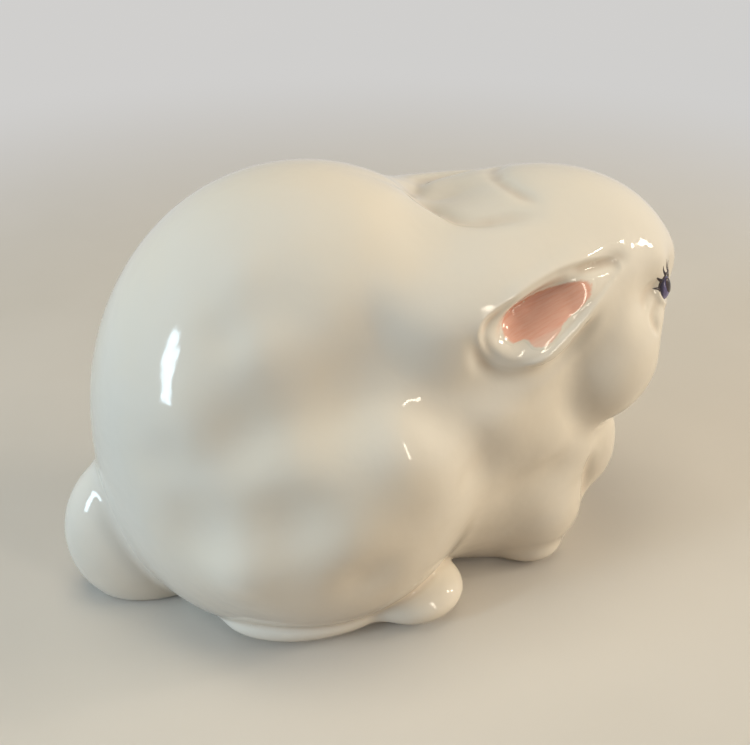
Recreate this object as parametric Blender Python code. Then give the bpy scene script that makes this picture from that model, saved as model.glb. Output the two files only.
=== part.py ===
"""A crouching rabbit figurine in glazed earthenware, in the sections that a potter would join.

The body is a hollow casting with a drain hole in its flat base. The head, ears, tail, feet, paws and
chest ruff are luted on, and the ear linings, eyes and nose are painted over the glaze. The rabbit
faces -Y, its left side is +X and it rests on z = 0. All sizes are in metres and turns in degrees.
"""

import math

import bmesh
import bpy
import numpy as np
from mathutils import Euler, Matrix, Vector

# Casting
WALL = 0.0045
DRAIN_HOLE_RADIUS = 0.007
DRAIN_HOLE_Y = 0.026
NECK_HOLE_RADIUS = 0.006
NECK_HOLE_Y = -0.034
JOINT_GAP = 0.0003
PAINT_THICKNESS = 0.0005

# Body
TRUNK_HALF = (0.038, 0.046, 0.0565)
TRUNK_CENTRE = (0.0, 0.0175, 0.042)
RUMP_HALF = (0.036, 0.0355, 0.029)
RUMP_CENTRE = (0.0, 0.020, 0.027)
SHOULDER_HALF = (0.030, 0.0275, 0.0335)
SHOULDER_CENTRE = (0.0, -0.017, 0.047)
BREAST_HALF = (0.024, 0.0245, 0.036)
BREAST_CENTRE = (0.0, -0.0305, 0.026)
HAUNCH_HALF = (0.017, 0.028, 0.028)
HAUNCH_CENTRE = (0.025, 0.016, 0.034)
HAUNCH_LEAN = -12.0
BODY_FILLET = 0.014
HAUNCH_FILLET = 0.007

# Head
SKULL_HALF = (0.024, 0.033, 0.0235)
SKULL_FORWARD = 0.036
SKULL_BELOW_BACK = 0.0295
SKULL_CENTRE = (0.0, -SKULL_FORWARD, TRUNK_CENTRE[2] + TRUNK_HALF[2] - SKULL_BELOW_BACK)
CHEEK_HALF = (0.013, 0.015, 0.016)
CHEEK_FROM_SKULL = (0.014, -0.010, -0.016)
MUZZLE_HALF = (0.0103, 0.011, 0.0094)
MUZZLE_FROM_SKULL = (0.0, -0.0233, -0.0132)
PAD_HALF = (0.0052, 0.0052, 0.0046)
PAD_FROM_SKULL = (0.0043, -0.0296, -0.0156)
CHIN_HALF = (0.0055, 0.0055, 0.0038)
CHIN_FROM_SKULL = (0.0, -0.0265, -0.0216)
CHEEK_FILLET = 0.008
MUZZLE_FILLET = 0.006
PAD_FILLET = 0.0025

# Ears
EAR_YAW = 105.5
EAR_PITCH = 7.0
EAR_STANDOFF = 0.0038
EAR_BACK_HALF = (0.0155, 0.023, 0.0095)
EAR_BACK_FROM_MOUTH = (-0.010, 0.010, 0.005)
EAR_BACK_TURN = (0.0, 24.0, -10.0)
EAR_LOBE_HALF = (0.006, 0.0155, 0.008)
EAR_LOBE_DEPTH = 0.003
EAR_MOUTH_HALF_LENGTH = 0.014
EAR_MOUTH_HALF_HEIGHT = 0.0068
EAR_MOUTH_TAPER = 0.22
EAR_MOUTH_TURN = (-16.0, -24.0, -13.0)
EAR_RIM_RADIUS = 0.0017
EAR_RIM_PROUD = 0.0012
EAR_FILLET = 0.005
EAR_BOWL_DEPTH = 0.0028
EAR_BOWL_MARGIN = 0.0015

# Tail, feet, paws and ruff; each stands proud of the body skin by its own amount
TAIL_HALF = (0.012, 0.020, 0.0225)
TAIL_HEIGHT = 0.016
TAIL_PROUD = 0.0133
HEEL_HALF = (0.013, 0.022, 0.0055)
HEEL_BEHIND_HAUNCH = 0.004
HEEL_HEIGHT = 0.004
HEEL_PROUD = 0.0024
TOES_HALF = (0.011, 0.012, 0.006)
TOES_AHEAD_OF_HAUNCH = 0.0175
TOES_HEIGHT = 0.005
TOES_PROUD = 0.010
FOOT_FILLET = 0.003
PAW_HALF = (0.0085, 0.0085, 0.006)
PAW_BEHIND_BREAST = -0.004
PAW_HEIGHT = 0.004
PAW_PROUD = 0.003
TUFT_HALF = (0.0075, 0.006, 0.0110)
TUFT_SPREAD = 0.0090
TUFT_HEIGHT = 0.0265
TUFT_PROUD = 0.0037
MIDDLE_TUFT_HEIGHT = 0.0245
TUFT_FILLET = 0.005

# Painted details
EYE_YAW = 33.0
EYE_PITCH = 0.0
EYE_HALF_WIDTH = 0.0029
EYE_HALF_HEIGHT = 0.0036
EYE_HALF_DEPTH = 0.0024
EYE_PROUD = 0.0015
PUPIL_HALF_WIDTH = 0.0012
PUPIL_HALF_HEIGHT = 0.0018
LASH_COUNT = 5
LASH_ARC_START = 20.0
LASH_ARC_END = 170.0
LASH_BAND = 0.0009
LASH_LENGTH = 0.0030
LASH_STEPS = 4
LINING_HALF_LENGTH = 0.0095
LINING_HALF_HEIGHT = 0.0036
NOSE_HALF_WIDTH = 0.0030
NOSE_HALF_HEIGHT = 0.0020
NOSE_PITCH = 14.0
PAINT_RINGS = 3
PAINT_SPOKES = 16

# Mesh fineness, as faces along each side of the cube that every skin starts from
BODY_DETAIL = 16
HEAD_DETAIL = 16
EAR_DETAIL = 10
SECTION_DETAIL = 8
EYE_DETAIL = 5
HALVINGS = 26
FURTHEST = 0.15
PAINT_DROP = 0.02
PAINT_DROP_STEPS = 120
PAINT_DROP_SHARE = 0.7
TABLE_HALF = 0.10

# Soft folds of the flank, haunch and chest: place, spread and height, the same on both sides
FOLDS = (
    ((0.033, 0.000, 0.066), 0.0085, -0.0040),
    ((0.036, 0.017, 0.063), 0.0080, -0.0022),
    ((0.034, 0.009, 0.069), 0.0070, -0.0016),
    ((0.038, 0.006, 0.055), 0.0070, 0.0022),
    ((0.039, -0.002, 0.046), 0.0070, 0.0015),
    ((0.041, 0.025, 0.043), 0.0065, -0.0022),
    ((0.034, -0.017, 0.052), 0.0060, 0.0016),
    ((0.027, -0.033, 0.041), 0.0060, 0.0016),
    ((0.034, -0.013, 0.044), 0.0045, -0.0020),
)


SIDES = ((1, "left"), (-1, "right"))


def turned(turn, order="XYZ"):
    """A rotation matrix from three turns in degrees."""
    return np.array(Euler([math.radians(angle) for angle in turn], order).to_matrix())


def heading(yaw, pitch):
    """The unit direction at a yaw from straight ahead towards the left side, and a pitch upwards."""
    yaw, pitch = math.radians(yaw), math.radians(pitch)
    return np.array((math.sin(yaw) * math.cos(pitch), -math.cos(yaw) * math.cos(pitch), math.sin(pitch)))


def lump(points, centre, half, turn=None):
    """How far points lie outside an ellipsoid of clay, negative inside it."""
    local = points - np.array(centre)
    if turn is not None:
        local = local @ turn
    scaled = local / np.array(half)
    reach = np.linalg.norm(scaled, axis=1)
    slope = np.linalg.norm(scaled / np.array(half), axis=1)
    return reach * (reach - 1) / np.maximum(slope, 1e-9)


def blend(first, second, fillet):
    """Joins two forms with a fillet between them."""
    near = np.maximum(fillet - np.abs(first - second), 0) / fillet
    return np.minimum(first, second) - near * near * fillet / 4


def paired(points):
    """Folds the left and right sides onto each other."""
    folded = points.copy()
    folded[:, 0] = np.abs(folded[:, 0])
    return folded


def shifted(start, step):
    return tuple(a + b for a, b in zip(start, step))


def body_form(points):
    """Trunk, rump, shoulders, breast and both haunches, with their soft folds."""
    points = paired(points)
    form = lump(points, TRUNK_CENTRE, TRUNK_HALF)
    form = blend(form, lump(points, RUMP_CENTRE, RUMP_HALF), BODY_FILLET)
    form = blend(form, lump(points, SHOULDER_CENTRE, SHOULDER_HALF), BODY_FILLET)
    form = blend(form, lump(points, BREAST_CENTRE, BREAST_HALF), BODY_FILLET)
    haunch = lump(points, HAUNCH_CENTRE, HAUNCH_HALF, turned((HAUNCH_LEAN, 0, 0)))
    form = blend(form, haunch, HAUNCH_FILLET)
    for place, spread, height in FOLDS:
        away = np.linalg.norm(points - np.array(place), axis=1)
        form = form - height * np.exp(-away**2 / (2 * spread**2))
    return form


def head_form(points):
    """Skull, both cheeks and the muzzle, with its whisker pads and chin."""
    points = paired(points)
    form = lump(points, SKULL_CENTRE, SKULL_HALF)
    for step, half, fillet in (
        (CHEEK_FROM_SKULL, CHEEK_HALF, CHEEK_FILLET),
        (MUZZLE_FROM_SKULL, MUZZLE_HALF, MUZZLE_FILLET),
        (PAD_FROM_SKULL, PAD_HALF, PAD_FILLET),
        (CHIN_FROM_SKULL, CHIN_HALF, PAD_FILLET),
    ):
        form = blend(form, lump(points, shifted(SKULL_CENTRE, step), half), fillet)
    return form


def skin_distance(form, start, directions):
    """How far the form's skin lies from a start inside it, along each direction, by halving."""
    inside = np.zeros(len(directions))
    outside = np.full(len(directions), FURTHEST)
    for _ in range(HALVINGS):
        middle = (inside + outside) / 2
        beyond = form(start + directions * middle[:, None]) > 0
        outside = np.where(beyond, middle, outside)
        inside = np.where(beyond, inside, middle)
    return outside


def seat(form, start, direction):
    """The point where one ray from inside the form comes out of its skin."""
    start, direction = np.array(start, dtype=float), np.array(direction, dtype=float)
    return start + direction * skin_distance(form, start, direction[None])[0]


def normals_of(form, points, step=0.00005):
    """The outward direction of the form's skin at each point."""
    slopes = [form(points + step * axis) - form(points - step * axis) for axis in np.eye(3)]
    slopes = np.stack(slopes, axis=1)
    return slopes / np.linalg.norm(slopes, axis=1)[:, None]


EAR_HEADING = heading(EAR_YAW, EAR_PITCH)
EAR_MOUTH_CENTRE = seat(head_form, SKULL_CENTRE, EAR_HEADING) + EAR_STANDOFF * EAR_HEADING
EAR_BACK_CENTRE = EAR_MOUTH_CENTRE + np.array(EAR_BACK_FROM_MOUTH)
EAR_MOUTH_AXES = turned(EAR_MOUTH_TURN, "YXZ")


def mouth_frame(points):
    """Points in the ear mouth's own axes: X out of it, Y to the tip, Z across, widening to the tip."""
    local = (points - EAR_MOUTH_CENTRE) @ EAR_MOUTH_AXES
    along = np.clip(local[:, 1] / EAR_MOUTH_HALF_LENGTH, -1.3, 1.0)
    local[:, 2] = local[:, 2] / (1 + EAR_MOUTH_TAPER * along)
    return local


def ear_form(points):
    """The left ear before its mouth is hollowed: a broad back, a lobe and a raised rim."""
    form = lump(points, EAR_BACK_CENTRE, EAR_BACK_HALF, turned(EAR_BACK_TURN))
    straight = (points - EAR_MOUTH_CENTRE) @ EAR_MOUTH_AXES
    form = blend(form, lump(straight, (-EAR_LOBE_DEPTH, 0, 0), EAR_LOBE_HALF), EAR_FILLET)
    local = mouth_frame(points)
    in_plane = local * np.array((0, 1, 1))
    edge = lump(in_plane, (0, 0, 0), (1, EAR_MOUTH_HALF_LENGTH, EAR_MOUTH_HALF_HEIGHT))
    rim = np.hypot(np.maximum(edge, 0), local[:, 0] - EAR_RIM_PROUD) - EAR_RIM_RADIUS
    form = blend(form, rim, EAR_FILLET)
    return np.maximum(form, JOINT_GAP / 2 - points[:, 0])


def bowl_form(points):
    """The hollow in the ear's mouth."""
    half = (
        EAR_BOWL_DEPTH + EAR_LOBE_DEPTH,
        EAR_MOUTH_HALF_LENGTH - EAR_BOWL_MARGIN,
        EAR_MOUTH_HALF_HEIGHT - EAR_BOWL_MARGIN,
    )
    return lump(mouth_frame(points), (EAR_LOBE_DEPTH, 0, 0), half)


def hollowed_ear_form(points):
    return np.maximum(ear_form(points), -bowl_form(points))


def proud_of_body(start, axis, half, proud):
    """The centre of a lump whose far side stands proud of the body skin along one axis."""
    direction = np.eye(3)[abs(axis) - 1] * np.sign(axis)
    return seat(body_form, start, direction) + direction * (proud - half[abs(axis) - 1])


TAIL_CENTRE = proud_of_body((0, TRUNK_CENTRE[1], TAIL_HEIGHT), 2, TAIL_HALF, TAIL_PROUD)
HEEL_CENTRE = proud_of_body(
    (0, HAUNCH_CENTRE[1] + HEEL_BEHIND_HAUNCH, HEEL_HEIGHT), 1, HEEL_HALF, HEEL_PROUD
)
TOES_CENTRE = proud_of_body(
    (0, HAUNCH_CENTRE[1] - TOES_AHEAD_OF_HAUNCH, TOES_HEIGHT), 1, TOES_HALF, TOES_PROUD
)
PAW_CENTRE = proud_of_body((0, BREAST_CENTRE[1] + PAW_BEHIND_BREAST, PAW_HEIGHT), 1, PAW_HALF, PAW_PROUD)
TUFT_CENTRE = proud_of_body((TUFT_SPREAD, BREAST_CENTRE[1], TUFT_HEIGHT), -2, TUFT_HALF, TUFT_PROUD)
MIDDLE_TUFT_CENTRE = proud_of_body((0, BREAST_CENTRE[1], MIDDLE_TUFT_HEIGHT), -2, TUFT_HALF, TUFT_PROUD)


def tail_form(points):
    return lump(points, TAIL_CENTRE, TAIL_HALF)


def foot_form(points):
    """The left hind foot: a long heel and a short round toe."""
    return blend(lump(points, HEEL_CENTRE, HEEL_HALF), lump(points, TOES_CENTRE, TOES_HALF), FOOT_FILLET)


def paw_form(points):
    return lump(points, PAW_CENTRE, PAW_HALF)


def ruff_form(points):
    """Three chest tufts side by side, the middle one hanging lower."""
    left = lump(points, TUFT_CENTRE, TUFT_HALF)
    right = lump(points * np.array((-1, 1, 1)), TUFT_CENTRE, TUFT_HALF)
    middle = lump(points, MIDDLE_TUFT_CENTRE, TUFT_HALF)
    return blend(np.minimum(left, right), middle, TUFT_FILLET)


def shrunk(form, inset):
    """The same form with its skin moved inwards, or outwards for a negative inset."""
    return lambda points: form(points) + inset


def clear_scene():
    for thing in list(bpy.data.objects):
        bpy.data.objects.remove(thing, do_unlink=True)


def make_material(name, colour, roughness):
    material = bpy.data.materials.new(name)
    material.use_nodes = True
    surface = material.node_tree.nodes["Principled BSDF"]
    surface.inputs["Base Color"].default_value = (*colour, 1.0)
    surface.inputs["Roughness"].default_value = roughness
    surface.inputs["Metallic"].default_value = 0.0
    return material


def add_object(name, bm, centre, material=None, parent=None):
    """Turns a mesh built in world places into an object whose origin is its centre."""
    bmesh.ops.translate(bm, verts=bm.verts, vec=-Vector(centre))
    mesh = bpy.data.meshes.new(name)
    bm.to_mesh(mesh)
    bm.free()
    thing = bpy.data.objects.new(name, mesh)
    bpy.context.collection.objects.link(thing)
    if material is not None:
        mesh.shade_smooth()
        mesh.set_sharp_from_angle(angle=math.radians(40))
        mesh.materials.append(material)
    thing.location = Vector(centre) - place_of(parent)
    thing.parent = parent
    return thing


def place_of(thing):
    """Where an object stands, adding up its own step and those of its parents."""
    place = Vector()
    while thing is not None:
        place += thing.location
        thing = thing.parent
    return place


def clay_skin(form, centre, detail, side=1):
    """A closed skin: a gridded cube whose vertices ride out from the centre to the form's surface."""
    bm = bmesh.new()
    bmesh.ops.create_cube(bm, size=2.0)
    bmesh.ops.subdivide_edges(bm, edges=bm.edges, cuts=detail - 1, use_grid_fill=True)
    directions = np.tan(np.array([vertex.co[:] for vertex in bm.verts]) * math.pi / 4)
    directions = directions / np.linalg.norm(directions, axis=1)[:, None]
    reach = skin_distance(form, np.array(centre), directions)
    places = (np.array(centre) + directions * reach[:, None]) * np.array((side, 1, 1))
    for vertex, place in zip(bm.verts, places):
        vertex.co = place
    if side < 0:
        bmesh.ops.reverse_faces(bm, faces=bm.faces)
    return bm


def clay_section(name, form, centre, material, side=1, parent=None, detail=SECTION_DETAIL):
    centre_on_side = np.array(centre) * np.array((side, 1, 1))
    return add_object(name, clay_skin(form, centre, detail, side), centre_on_side, material, parent)


def make_cutter(name, bm, centre):
    cutter = add_object(name, bm, centre)
    cutter.hide_render = True
    cutter.display_type = "WIRE"
    return cutter


def skin_cutter(name, form, centre, detail=SECTION_DETAIL, side=1):
    centre_on_side = np.array(centre) * np.array((side, 1, 1))
    return make_cutter(name, clay_skin(form, centre, detail, side), centre_on_side)


def table_cutter():
    """Everything below the surface that the figurine stands on."""
    bm = bmesh.new()
    bmesh.ops.create_cube(bm, size=2 * TABLE_HALF)
    centre = (0, 0, -TABLE_HALF)
    bmesh.ops.translate(bm, verts=bm.verts, vec=centre)
    return make_cutter("table_cutter", bm, centre)


def rod_cutter(name, start, end, radius, sides=32):
    """A round cutter from one point to another."""
    start, end = Vector(start), Vector(end)
    run = end - start
    bm = bmesh.new()
    bmesh.ops.create_cone(
        bm, cap_ends=True, segments=sides, radius1=radius, radius2=radius, depth=run.length
    )
    turn = run.to_track_quat("Z", "Y").to_matrix().to_4x4()
    bmesh.ops.transform(bm, verts=bm.verts, matrix=Matrix.Translation((start + end) / 2) @ turn)
    return make_cutter(name, bm, (start + end) / 2)


def cut(thing, *cutters):
    for cutter in cutters:
        modifier = thing.modifiers.new(cutter.name, "BOOLEAN")
        modifier.operation = "DIFFERENCE"
        modifier.solver = "EXACT"
        modifier.object = cutter


def cavity_form(form):
    """The casting hollow, one wall inside the form and one wall above the base."""
    return lambda points: np.maximum(form(points) + WALL, WALL - points[:, 2])


def make_body(glaze, table):
    """The hollow body, cut flat to stand, with its drain hole and the hole into the neck."""
    body = clay_section("body_shell", body_form, TRUNK_CENTRE, glaze, detail=BODY_DETAIL)
    hollow = skin_cutter("body_hollow", cavity_form(body_form), TRUNK_CENTRE)
    below, above = (0, DRAIN_HOLE_Y, -WALL), (0, DRAIN_HOLE_Y, 3 * WALL)
    drain = rod_cutter("drain_hole", below, above, DRAIN_HOLE_RADIUS)
    chest = (0, NECK_HOLE_Y, SHOULDER_CENTRE[2])
    crown = (0, NECK_HOLE_Y, SKULL_CENTRE[2] + SKULL_HALF[2])
    neck = rod_cutter("neck_hole", chest, crown, NECK_HOLE_RADIUS)
    cut(body, table, hollow, drain, neck)
    return body


def make_head(glaze, body, body_clearance):
    """The hollow head, whose open neck sits over the shoulders."""
    head = clay_section("head_shell", head_form, SKULL_CENTRE, glaze, parent=body, detail=HEAD_DETAIL)
    hollow = skin_cutter("head_hollow", shrunk(head_form, WALL), SKULL_CENTRE)
    cut(head, body_clearance, hollow)
    return head


def ear_core():
    """A point well inside the ear that sees all of its skin."""
    return (EAR_MOUTH_CENTRE + EAR_BACK_CENTRE) / 2


def make_ear(side, side_name, glaze, head, cutters):
    """One lop ear laid back over the shoulder, with the hollow of its mouth."""
    ear = clay_section("ear_" + side_name, ear_form, ear_core(), glaze, side, head, EAR_DETAIL)
    bowl_centre = EAR_MOUTH_CENTRE + EAR_MOUTH_AXES @ np.array((EAR_LOBE_DEPTH, 0, 0))
    bowl = skin_cutter("ear_bowl_" + side_name, bowl_form, bowl_centre, EAR_DETAIL, side)
    cut(ear, *cutters, bowl)
    return ear


def landed(form, points, outward):
    """Where points dropped from outside onto a form come to rest."""
    places = points + outward * PAINT_DROP
    for _ in range(PAINT_DROP_STEPS):
        places = places - outward * form(places)[:, None] * PAINT_DROP_SHARE
    return places


def painted_layer(name, form, anchor, outward, upward, rows, closed, material, side, parent):
    """A thin layer of paint over a form, from rows of flat points given across and up."""
    upward = upward - outward * np.dot(upward, outward)
    upward = upward / np.linalg.norm(upward)
    across = np.cross(upward, outward)
    flat = np.array([point for row in rows for point in row])
    points = anchor + flat[:, :1] * across + flat[:, 1:] * upward
    places = landed(form, points, outward)
    places = places + normals_of(form, places) * JOINT_GAP
    bm = bmesh.new()
    count = len(rows[0])
    grid = [bm.verts.new(place * np.array((side, 1, 1))) for place in places]
    spans = count if closed else count - 1
    for row in range(len(rows) - 1):
        for column in range(spans):
            after = (column + 1) % count
            near, far = grid[row * count :], grid[(row + 1) * count :]
            bm.faces.new((near[column], near[after], far[after], far[column]))
    if closed:
        last = (len(rows) - 1) * count
        bm.faces.new([grid[last + column] for column in range(count)])
    bmesh.ops.recalc_face_normals(bm, faces=bm.faces)
    bm.normal_update()
    facing = sum((face.normal * face.calc_area() for face in bm.faces), Vector())
    if facing.dot(Vector(outward * np.array((side, 1, 1)))) < 0:
        bmesh.ops.reverse_faces(bm, faces=bm.faces)
    middle = places.mean(axis=0) * np.array((side, 1, 1))
    layer = add_object(name, bm, middle, material, parent)
    thickness = layer.modifiers.new("paint", "SOLIDIFY")
    thickness.thickness = PAINT_THICKNESS
    thickness.offset = 1.0
    return layer


def oval_rows(half_width, half_height, inner=0.25):
    """Rings of points from an oval's edge in towards its middle."""
    angles = [2 * math.pi * spoke / PAINT_SPOKES for spoke in range(PAINT_SPOKES)]
    rings = [1 - (1 - inner) * ring / (PAINT_RINGS - 1) for ring in range(PAINT_RINGS)]
    return [
        [(half_width * ring * math.cos(a), half_height * ring * math.sin(a)) for a in angles]
        for ring in rings
    ]


def lash_rows(clearance):
    """The painted lid line round the top of the eye, with its pointed lashes."""
    steps = LASH_COUNT * LASH_STEPS
    inner, outer = [], []
    for step in range(steps + 1):
        angle = math.radians(LASH_ARC_START + (LASH_ARC_END - LASH_ARC_START) * step / steps)
        phase = (step % LASH_STEPS) / LASH_STEPS
        spike = max(0.0, 1 - abs(phase - 0.5) * LASH_STEPS / 1.5)
        near = np.array((EYE_HALF_WIDTH * math.cos(angle), EYE_HALF_HEIGHT * math.sin(angle)))
        away = near / np.linalg.norm(near)
        inner.append(tuple(near + away * clearance))
        outer.append(tuple(near + away * (clearance + LASH_BAND + LASH_LENGTH * spike)))
    middle = [tuple((np.array(a) + np.array(b)) / 2) for a, b in zip(inner, outer)]
    return [inner, middle, outer]


def make_eye(side, side_name, head, head_clearance, paints):
    """A domed painted eye with its pupil and lashes."""
    outward = heading(EYE_YAW, EYE_PITCH)
    anchor = seat(head_form, SKULL_CENTRE, outward)
    normal = normals_of(head_form, anchor[None])[0]
    across = np.cross(np.array((0, 0, 1.0)), normal)
    across = across / np.linalg.norm(across)
    axes = np.stack((across, normal, np.cross(across, normal)), axis=1)
    centre = anchor + normal * (EYE_PROUD - EYE_HALF_DEPTH)
    half = (EYE_HALF_WIDTH, EYE_HALF_DEPTH, EYE_HALF_HEIGHT)

    def eye_form(points):
        return lump(points, centre, half, axes)

    eye = clay_section("eye_" + side_name, eye_form, centre, paints["iris"], side, head, EYE_DETAIL)
    cut(eye, head_clearance)
    upward = np.array((0, 0, 1.0))
    pupil = oval_rows(PUPIL_HALF_WIDTH, PUPIL_HALF_HEIGHT)
    painted_layer(
        "pupil_" + side_name, eye_form, anchor, normal, upward, pupil, True, paints["line"], side, eye
    )
    lashes = lash_rows(2 * JOINT_GAP)
    painted_layer(
        "lashes_" + side_name, head_form, anchor, normal, upward, lashes, False, paints["line"], side, head
    )


def make_lining(side, side_name, ear, pink):
    """The pink brushed patch in the ear's mouth."""
    outward = EAR_MOUTH_AXES[:, 0]
    rows = oval_rows(LINING_HALF_HEIGHT, LINING_HALF_LENGTH)
    painted_layer(
        "ear_lining_" + side_name,
        hollowed_ear_form,
        EAR_MOUTH_CENTRE,
        outward,
        EAR_MOUTH_AXES[:, 1],
        rows,
        True,
        pink,
        side,
        ear,
    )


def make_nose(head, pink):
    muzzle = shifted(SKULL_CENTRE, MUZZLE_FROM_SKULL)
    outward = heading(0, NOSE_PITCH)
    anchor = seat(head_form, muzzle, outward)
    rows = oval_rows(NOSE_HALF_WIDTH, NOSE_HALF_HEIGHT)
    painted_layer("nose", head_form, anchor, outward, np.array((0, 0, 1.0)), rows, True, pink, 1, head)


def make_luted_parts(body, glaze, table, body_clearance, head_clearance):
    """The tail and the chest ruff, then a foot and a paw on each side."""
    tail = clay_section("tail", tail_form, TAIL_CENTRE, glaze, parent=body)
    cut(tail, table, body_clearance)
    ruff = clay_section("chest_ruff", ruff_form, MIDDLE_TUFT_CENTRE, glaze, 1, body, EAR_DETAIL)
    cut(ruff, body_clearance, head_clearance)
    for side, side_name in SIDES:
        foot_centre = (HEEL_CENTRE + TOES_CENTRE) / 2
        foot = clay_section("hind_foot_" + side_name, foot_form, foot_centre, glaze, side, body, EAR_DETAIL)
        paw = clay_section("fore_paw_" + side_name, paw_form, PAW_CENTRE, glaze, side, body)
        cut(foot, table, body_clearance)
        cut(paw, table, body_clearance)


def make_rabbit():
    clear_scene()
    glaze = make_material("white_glaze", (0.80, 0.78, 0.74), 0.08)
    pink = make_material("pink_underglaze", (0.66, 0.32, 0.24), 0.15)
    paints = {
        "iris": make_material("violet_underglaze", (0.12, 0.10, 0.24), 0.10),
        "line": make_material("dark_underglaze", (0.03, 0.02, 0.02), 0.15),
    }
    table = table_cutter()
    around_body = shrunk(body_form, -JOINT_GAP)
    around_head = shrunk(head_form, -JOINT_GAP)
    body_clearance = skin_cutter("body_clearance", around_body, TRUNK_CENTRE, BODY_DETAIL)
    head_clearance = skin_cutter("head_clearance", around_head, SKULL_CENTRE, HEAD_DETAIL)
    body = make_body(glaze, table)
    head = make_head(glaze, body, body_clearance)
    make_luted_parts(body, glaze, table, body_clearance, head_clearance)
    for side, side_name in SIDES:
        ear = make_ear(side, side_name, glaze, head, (body_clearance, head_clearance))
        make_lining(side, side_name, ear, pink)
        make_eye(side, side_name, head, head_clearance, paints)
    make_nose(head, pink)


make_rabbit()
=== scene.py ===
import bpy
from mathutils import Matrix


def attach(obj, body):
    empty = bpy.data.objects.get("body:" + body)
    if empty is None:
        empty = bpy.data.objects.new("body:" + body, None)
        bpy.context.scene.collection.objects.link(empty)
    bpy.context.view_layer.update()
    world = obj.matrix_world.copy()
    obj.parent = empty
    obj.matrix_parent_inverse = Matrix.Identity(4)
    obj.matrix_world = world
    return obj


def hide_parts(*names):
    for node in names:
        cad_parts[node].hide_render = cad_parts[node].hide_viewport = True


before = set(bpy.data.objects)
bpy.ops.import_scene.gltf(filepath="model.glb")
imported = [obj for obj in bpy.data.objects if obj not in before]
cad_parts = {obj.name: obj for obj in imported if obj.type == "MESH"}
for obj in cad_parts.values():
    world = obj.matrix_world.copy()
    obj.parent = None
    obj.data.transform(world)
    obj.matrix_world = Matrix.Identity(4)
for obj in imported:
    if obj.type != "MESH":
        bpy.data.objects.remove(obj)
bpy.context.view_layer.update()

import math
from concurrent.futures import ThreadPoolExecutor

import bmesh
import bpy
import numpy as np
from mathutils import Euler, Matrix, Vector

# Every form below is in millimetres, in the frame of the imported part, and made into metres with its mesh
MM = 0.001
WALL = 4.5
DRAIN_PLACE, DRAIN_RADIUS = (0.0, 26.0), 7.0

# The lumps of clay that the figurine is built up from: centre and half sizes
TRUNK = ((0.0, 17.5, 42.0), (38.0, 46.0, 56.5))
RUMP = ((0.0, 20.0, 27.0), (36.0, 35.5, 29.0))
SHOULDER = ((0.0, -17.0, 47.0), (30.0, 27.5, 33.5))
BREAST = ((0.0, -30.5, 26.0), (24.0, 24.5, 36.0))
HAUNCH = ((25.0, 16.0, 34.0), (17.0, 28.0, 28.0))
SKULL = ((0.0, -36.0, 69.0), (24.0, 33.0, 23.5))
CHEEK = ((14.0, -46.0, 53.0), (13.0, 15.0, 16.0))
FORELEG = ((14.5, -35.2, 13.8), (9.5, 11.5, 11.8))
MUZZLE = ((0.0, -58.6, 55.8), (9.8, 10.6, 9.2))
WHISKER_PAD = ((3.8, -64.4, 53.2), (4.8, 4.8, 4.4))
CHIN = ((0.0, -62.5, 47.4), (5.5, 5.5, 3.8))
NOSE_BUMP = ((0.0, -65.8, 59.2), (3.6, 3.6, 3.2))
EAR_BACK = ((16.97, -18.52, 77.44), (15.5, 23.0, 9.5))
EAR_MOUTH = np.array((26.97, -28.52, 72.44))
TAIL = ((0.0, 53.2, 16.0), (12.0, 20.0, 22.5))
HEEL = ((20.63, 20.0, 4.0), (13.0, 22.0, 5.5))
TOES = ((24.86, -1.5, 5.0), (11.0, 12.0, 6.0))
PAW = ((13.9, -34.6, 3.2), (8.5, 8.4, 4.0))
TUFT = ((9.0, -50.91, 26.5), (7.5, 6.0, 11.0))
MIDDLE_TUFT = ((0.0, -52.68, 24.5), (7.5, 6.0, 11.0))

# Lumps smoothed in turn into the trunk and into the skull, each with the width of its fillet
BODY_LUMPS = ((RUMP, 14), (SHOULDER, 14), (BREAST, 14), (FORELEG, 4))
HEAD_LUMPS = ((CHEEK, 8), (MUZZLE, 6), (WHISKER_PAD, 2.5), (CHIN, 3), (NOSE_BUMP, 3))
HAUNCH_FILLET, TUFT_FILLET, TOE_FILLET, LOBE_FILLET = 7, 5, 3, 5

# Parts smoothed in turn into the body, each with the width of the fillet along its seam
SEAMS = (("ruff", 7), ("head", 5), ("ear", 7), ("tail", 2.0), ("foot", 1.2), ("paw", 3))
BASE_FILLET = 1.0

# Soft swellings and hollows of the modelled clay: place, spread and height, the same on both sides
SWELLS = (
    ((33, 0, 66), 8.0, -1.2), ((36, 17, 63), 8.0, -3.0), ((34, 9, 69), 7.0, -2.2), ((38, 6, 55), 7.0, 3.0),
    ((39, -2, 46), 7.0, 2.0), ((38, 27, 52), 7.0, 1.6), ((40, 28, 43), 6.5, -3.0),
    ((26, 36.5, 77), 3.5, -0.8), ((25.5, 26, 80), 5.0, -0.7), ((29.5, 8.0, 78), 4.5, -0.7),
    ((29, 31, 75), 5.0, 0.7), ((33, 36, 58), 4.5, -0.7), ((35.5, -1.0, 59.5), 4.0, -0.8),
    ((25, 49, 52), 4.0, -0.6), ((26, 44, 62), 5.0, 0.6), ((21, 32, 88), 4.0, 0.5),
    ((35, 34, 60), 7.0, -1.8), ((34, 45, 37), 6.0, -2.2), ((38, 40, 29), 6.0, 2.0),
    ((42, 18, 36), 7.0, 1.4), ((41, 14, 26), 5.0, -1.6), ((34, -17, 52), 6.0, 1.6),
    ((27, -33, 41), 6.0, 1.6), ((34, -13, 44), 5.0, -1.5), ((26, -33, 33), 4.5, -1.4),
    ((24, -32, 23), 6.0, 1.2), ((20, -45, 33), 5.0, 1.2), ((28, -24, 31), 5.0, -1.2),
)

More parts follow.
